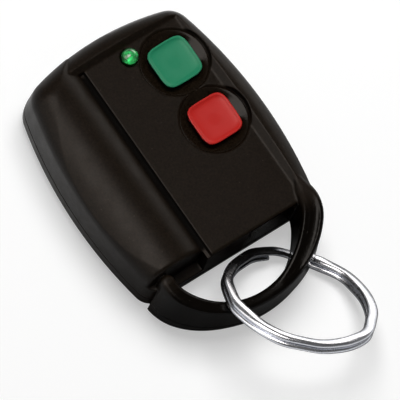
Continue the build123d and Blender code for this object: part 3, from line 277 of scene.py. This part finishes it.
def moulded_plastic():
    """Warm black plastic: grained panel, smoother wells and key loop, and painted shade on the key loop
    and in the dull groove beside the ridge.
    """
    material, tree, shader = new_material("housing_plastic")
    place = tree.nodes.new("ShaderNodeTexCoord")
    axes = tree.nodes.new("ShaderNodeSeparateXYZ")
    tree.links.new(place.outputs["Object"], axes.inputs["Vector"])
    groove_shade = mask(tree, axes, GROOVE_SHADE_EDGES)
    polish = mask(tree, axes, POLISH_EDGES)
    loop = fade(tree, axes, LOOP_EDGE)

    mottle = spread(tree, noise(tree, MOTTLE_SCALE, 3.0, 0.6), 0.0, 1.0, 0.32, 0.68)
    tone = two_tone(tree, mottle, *BLACK_TONES)
    # Painted shade: the groove beside the ridge and the key loop run to a near-black colour
    painted_shade = maths(tree, "MAXIMUM", groove_shade, maths(tree, "MULTIPLY", loop, LOOP_PAINTED_SHADE))
    tone = two_tone(tree, painted_shade, tone, PAINTED_SHADE_TONE)
    lint = spread(tree, noise(tree, MOTTLE_SCALE, 1.0, 0.4), 0.0, 0.5, 0.78, 0.84)
    tree.links.new(two_tone(tree, lint, tone, LINT_TONE), shader.inputs["Base Color"])

    shader.inputs["Specular IOR Level"].default_value = SHELL_SPECULAR
    rough = spread(tree, noise(tree, SMEAR_SCALE, 6.0, 0.65), *SHELL_ROUGHNESS)
    rough = maths(tree, "MULTIPLY_ADD", loop, POLISH_SMOOTHER, rough)
    rough = maths(tree, "MULTIPLY_ADD", groove_shade, GROOVE_SHADE_ROUGHER, rough)
    rough = maths(tree, "MULTIPLY_ADD", polish, POLISH_SMOOTHER, rough)
    tree.links.new(rough, shader.inputs["Roughness"])

    grain = fade(tree, axes, RIDGE_EDGE, 1.0, RIDGE_GRAIN)
    grain = maths(tree, "MULTIPLY", noise(tree, GRAIN_SCALE, 3.0, 0.6), grain)
    normal = bump(tree, grain, 0.5, GRAIN_DEPTH)
    normal = bump(tree, noise(tree, SINK_SCALE, 2.0, 0.5), 0.12, SINK_DEPTH, normal)
    tree.links.new(normal, shader.inputs["Normal"])
    return material


def clear_plastic():
    """Green see-through plastic of the lamp."""
    material = surface("lamp_plastic", (0.02, 0.36, 0.09), (0.03, 0.42, 0.11), (0.05, 0.09),
                       grain_strength=0.05, specular=0.8, coat=1.0)
    shader = material.node_tree.nodes["Principled BSDF"]
    shader.inputs["Transmission Weight"].default_value = LAMP_CLEARNESS
    shader.inputs["IOR"].default_value = LAMP_IOR
    return material


MATERIALS = {
    "housing_plastic": moulded_plastic(),
    "green_plastic": surface("green_plastic", (0.014, 0.185, 0.09), (0.018, 0.205, 0.102), KEY_ROUGHNESS,
                             specular=KEY_SPECULAR),
    "red_plastic": surface("red_plastic", (0.42, 0.014, 0.011), (0.46, 0.018, 0.014), KEY_ROUGHNESS,
                           specular=KEY_SPECULAR),
    "lamp_plastic": clear_plastic(),
    "tinned_steel": surface("tinned_steel", (0.6, 0.6, 0.57), (0.74, 0.74, 0.72), (0.25, 0.4), 1.0),
    "board_laminate": surface("board_laminate", (0.012, 0.12, 0.04), (0.02, 0.16, 0.055), (0.2, 0.32)),
    "switch_plastic": surface("switch_plastic", (0.012, 0.012, 0.012), (0.018, 0.018, 0.018), (0.4, 0.55)),
    "plunger_plastic": surface("plunger_plastic", (0.1, 0.08, 0.06), (0.13, 0.11, 0.09), (0.35, 0.5)),
    "spring_steel": surface("spring_steel", (0.62, 0.6, 0.55), (0.74, 0.72, 0.68), (0.2, 0.34), 1.0),
    "battery_case": surface("battery_case", (0.02, 0.03, 0.07), (0.03, 0.04, 0.09), (0.25, 0.35), 0.4),
    "chip_plastic": surface("chip_plastic", (0.01, 0.01, 0.011), (0.016, 0.016, 0.016), (0.5, 0.65)),
    "trimmer_plastic": surface("trimmer_plastic", (0.6, 0.55, 0.44), (0.68, 0.63, 0.52), (0.4, 0.55)),
    "brass_metal": surface("brass_metal", (0.66, 0.47, 0.2), (0.76, 0.57, 0.28), (0.25, 0.4), 1.0),
    "ceramic_tan": surface("ceramic_tan", (0.42, 0.3, 0.18), (0.52, 0.39, 0.25), (0.45, 0.6)),
    "copper_wire": surface("copper_wire", (0.6, 0.25, 0.12), (0.72, 0.33, 0.17), (0.2, 0.32), 1.0,
                           coat=0.5),
    "screw_steel": surface("screw_steel", (0.2, 0.2, 0.2), (0.3, 0.3, 0.31), (0.3, 0.45), 1.0),
    "ring_steel": surface("ring_steel", (0.68, 0.7, 0.76), (0.78, 0.8, 0.85), (0.2, 0.3), 1.0,
                          grain=5000, grain_depth=0.002 * MM, grain_strength=0.15, wave=180,
                          wave_strength=0.25),
}

for part in frame["record"]["subparts"]:
    held = NODES[part["node"]].data
    held.materials.clear()
    held.materials.append(MATERIALS[part["material_slot"]])

# Soft edges of the moulded shells
for name in ("front_shell", "rear_shell"):
    shell = NODES[name]
    joined = shell.modifiers.new("joined", "WELD")
    joined.merge_threshold = WELD_GAP
    even = shell.modifiers.new("even", "REMESH")
    even.mode = "VOXEL"
    even.voxel_size = SHELL_VOXEL
    even.use_smooth_shade = True
    worn = shell.modifiers.new("worn", "SMOOTH")
    worn.factor = SHELL_SMOOTHING
    worn.iterations = SHELL_SMOOTHING_ROUNDS


def plain_mesh(name, points, faces, smooth=True):
    """Mesh object from points and faces, shown in the scene."""
    mesh = bpy.data.meshes.new(name)
    mesh.from_pydata(points, [], faces)
    if smooth:
        mesh.shade_smooth()
    made = bpy.data.objects.new(name, mesh)
    bpy.context.scene.collection.objects.link(made)
    return made


def piece(made, body, slot, *nodes):
    """Finish a piece: its body, its material and the nodes that it stands for."""
    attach(made, body)
    made.data.materials.append(MATERIALS[slot])
    if nodes:
        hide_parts(*nodes)


def middle(name):
    """Middle of a node's box as seen from above, in mm."""
    corners = [NODES[name].matrix_world @ Vector(corner) for corner in NODES[name].bound_box]
    return [(min(corner[axis] for corner in corners) + max(corner[axis] for corner in corners)) / 2 / MM
            for axis in (0, 1)]


def square_row(centre, half, power, height, count):
    """Closed row of points at a height, on an outline between a circle and a square."""
    row = []
    for step in range(count):
        turn = 2 * math.pi * step / count
        across, along = math.cos(turn), math.sin(turn)
        reach = half / (abs(across)**power + abs(along)**power)**(1 / power)
        row.append(((centre[0] + reach * across) * MM, (centre[1] + reach * along) * MM, height * MM))
    return row


def rows_to_faces(rows, count):
    """Faces between rows of points that each close on themselves."""
    faces = []
    for first in range(0, (rows - 1) * count, count):
        for step in range(count):
            after = (step + 1) % count
            faces.append((first + step, first + after, first + count + after, first + count + step))
    return faces


def flat_ends(total, count):
    """Faces that close the first and the last row of a form."""
    return [tuple(reversed(range(count))), tuple(range(total - count, total))]


def wrapped_ends(total, count):
    """Faces that join the last row of a form to its first."""
    last = total - count
    return [(last + step, last + (step + 1) % count, (step + 1) % count, step) for step in range(count)]


def stacked(name, centre, rows, count, ends=None):
    """Mesh object through the rows of a table, with its ends as the given function closes them."""
    points = []
    for row in rows:
        points += square_row(centre, *row, count)
    faces = rows_to_faces(len(rows), count)
    if ends:
        faces += ends(len(points), count)
    return plain_mesh(name, points, faces)


# Push buttons from the stem up to the dished top, and the sloping sides of their wells
for colour in ("green", "red"):
    button = colour + "_button"
    key_cap = stacked(colour + "_key_cap", middle(button), KEY_ROWS, KEY_POINTS, flat_ends)
    piece(key_cap, button, colour + "_plastic", button)
    well_slope = stacked(colour + "_well_slope", middle(button), WELL_ROWS, KEY_POINTS, wrapped_ends)
    piece(well_slope, "housing", "housing_plastic")

# Reflector cup and bond wire post inside the lamp
LAMP_X, LAMP_Y = middle("signal_lamp")
cup = stacked("lamp_cup", (LAMP_X, LAMP_Y), CUP_ROWS, CUP_POINTS)
piece(cup, "housing", "tinned_steel")
post = stacked("lamp_post", (LAMP_X + POST_ASIDE[0], LAMP_Y + POST_ASIDE[1]), POST_ROWS, POST_POINTS)
piece(post, "housing", "tinned_steel")


def waves(table, turn):
    """Sum of a table's waves at a place round the ring."""
    return sum(size * math.sin(number * turn + start) for size, number, start in table)


def squarer(value, power):
    """Value from -1 to 1 moved outwards, which makes a round section squarer."""
    return math.copysign(abs(value)**power, value)


def wire_row(step):
    """Points round the ring's wire at one step along it."""
    past_start = RING_SWEEP * step / WIRE_STEPS
    turn = math.radians(RING_START + past_start)
    climb = min(max((past_start - RING_CLIMB_START) / RING_CLIMB, 0), 1)
    lift = (climb * climb * (3 - 2 * climb) - 0.5) * RING_PITCH
    dent = waves(RING_DENTS, turn)
    roll = waves(RING_ROLLS, turn)
    out = RING_RIGHT * math.cos(turn) + RING_FAR * math.sin(turn)
    from_end = min(step, WIRE_STEPS - step, WIRE_END_STEPS) / WIRE_END_STEPS
    half_width = WIRE_HALF_WIDTH * (WIRE_END_WIDTH + (1 - WIRE_END_WIDTH) * from_end)
    half_thickness = WIRE_HALF_THICKNESS * (WIRE_END_THICKNESS + (1 - WIRE_END_THICKNESS) * from_end)
    row = []
    for spot in range(WIRE_ROUND):
        swing = 2 * math.pi * spot / WIRE_ROUND
        wide = squarer(math.cos(swing), WIDTH_SQUARENESS) * half_width
        thick = squarer(math.sin(swing), THICKNESS_SQUARENESS) * half_thickness
        across = wide * math.cos(roll) - thick * math.sin(roll)
        above = wide * math.sin(roll) + thick * math.cos(roll)
        place = RING_CENTRE + out * (RING_RADIUS + dent + across) + RING_AXIS * (lift + above)
        row.append(place * MM)
    return row


# Split ring
wire_points = [point for step in range(WIRE_STEPS + 1) for point in wire_row(step)]
wire_faces = rows_to_faces(WIRE_STEPS + 1, WIRE_ROUND) + flat_ends(len(wire_points), WIRE_ROUND)
piece(plain_mesh("ring_wire", wire_points, wire_faces), "key_ring", "ring_steel", "split_ring")


def white_paper():
    """White paper that keeps its shadows, glows to white, is clear from below, and has painted shade in
    what the ring and key loop mirror of it.
    """
    paper, tree, shader = new_material("white_paper")
    shader.inputs["Roughness"].default_value = 0.9
    shader.inputs["Specular IOR Level"].default_value = 0.1
    rays = tree.nodes.new("ShaderNodeLightPath")
    mirrored = rays.outputs["Is Glossy Ray"]
    around = tree.nodes.new("ShaderNodeTexCoord")
    radius = tree.nodes.new("ShaderNodeVectorMath")
    radius.operation = "DISTANCE"
    radius.inputs[1].default_value = LOOP_SPOT
    tree.links.new(around.outputs["Object"], radius.inputs[0])
    from_spot = radius.outputs["Value"]

    # Painted shade: glossy rays see the table darker and without glow round the key loop
    near_loop = maths(tree, "MULTIPLY", spread(tree, from_spot, 1.0, 0.0, *LOOP_SPOT_FADE), mirrored)
    tree.links.new(two_tone(tree, near_loop, TABLE_TONE, LOOP_SPOT_TONE), shader.inputs["Base Color"])
    mirrored_glow = spread(tree, from_spot, 0.0, TABLE_MIRRORED_GLOW, *LOOP_SPOT_GLOW_FADE)
    mirrored_glow = maths(tree, "MULTIPLY", mirrored_glow, mirrored)
    direct = maths(tree, "MAXIMUM", rays.outputs["Is Camera Ray"], rays.outputs["Is Transmission Ray"])
    glow = maths(tree, "MULTIPLY_ADD", direct, TABLE_GLOW, mirrored_glow)
    shader.inputs["Emission Color"].default_value = (1, 1, 1, 1)
    tree.links.new(glow, shader.inputs["Emission Strength"])

    side_seen = tree.nodes.new("ShaderNodeNewGeometry")
    clear = tree.nodes.new("ShaderNodeBsdfTransparent")
    one_sided = tree.nodes.new("ShaderNodeMixShader")
    tree.links.new(side_seen.outputs["Backfacing"], one_sided.inputs["Fac"])
    tree.links.new(shader.outputs["BSDF"], one_sided.inputs[1])
    tree.links.new(clear.outputs["BSDF"], one_sided.inputs[2])
    tree.links.new(one_sided.outputs["Shader"], tree.nodes["Material Output"].inputs["Surface"])
    return paper


# White table
floor = plain_mesh("table_top", [(across * TABLE_REACH, along * TABLE_REACH, TABLE_Z)
                                 for across, along in ((-1, -1), (1, -1), (1, 1), (-1, 1))],
                   [(0, 1, 2, 3)], smooth=False)
floor.data.materials.append(white_paper())

# Sky of the studio, for soft light and for reflections
world = bpy.data.worlds.new("studio")
bpy.context.scene.world = world
world.use_nodes = True
sky = world.node_tree
heading = sky.nodes.new("ShaderNodeTexCoord")
height = sky.nodes.new("ShaderNodeSeparateXYZ")
sky.links.new(heading.outputs["Generated"], height.inputs["Vector"])
level = spread(sky, height.outputs["Z"], HORIZON_LEVEL, OVERHEAD_LEVEL, *SKY_FADE)
sky.links.new(level, sky.nodes["Background"].inputs["Strength"])
sky.nodes["Background"].inputs["Color"].default_value = (*SKY_COLOUR, 1)


def soft_box(name, direction, distance, width, height, radiance, mirrored=True):
    """Rectangular lamp that looks at the object: seen in reflections alone, or lighting alone."""
    lamp = bpy.data.lights.new(name, "AREA")
    lamp.shape = "RECTANGLE"
    lamp.size = width
    lamp.size_y = height
    lamp.energy = radiance * width * height * math.pi
    lamp.color = MIRRORED_COLOUR if mirrored else (1, 1, 1)
    held = bpy.data.objects.new(name, lamp)
    bpy.context.scene.collection.objects.link(held)
    way = Vector(direction).normalized()
    held.location = CAMERA_AIM + way * distance
    held.rotation_mode = "QUATERNION"
    held.rotation_quaternion = way.to_track_quat("Z", "Y")
    held.visible_camera = False
    held.visible_glossy = mirrored
    held.visible_diffuse = not mirrored


soft_box("key", (0.16, 0.3, 1), 0.5, 0.3, 0.3, 8.1, mirrored=False)
soft_box("ridge_light", (-0.3, 0.17, 0.92), 0.4, 0.25, 0.3, 5.3)
soft_box("left_light", (-0.86, 0.24, 0.47), 0.4, 0.3, 0.34, 2.0)
soft_box("ring_light", (0.85, 0.46, 0.25), 0.17, 0.13, 0.085, 2.3)

# Camera at the photograph's angle
lens = bpy.data.cameras.new("camera")
lens.lens = lens.sensor_width * CAMERA_DISTANCE / VIEW_WIDTH
lens.clip_start = CAMERA_NEAR
lens.clip_end = CAMERA_FAR
camera = bpy.data.objects.new("camera", lens)
bpy.context.scene.collection.objects.link(camera)
camera.matrix_world = Matrix.Translation(CAMERA_AIM + CAMERA_BACK * CAMERA_DISTANCE) @ Matrix(
    (CAMERA_RIGHT, CAMERA_UP, CAMERA_BACK)).transposed().to_4x4()
bpy.context.scene.camera = camera
bpy.context.scene.view_settings.view_transform = "Standard"
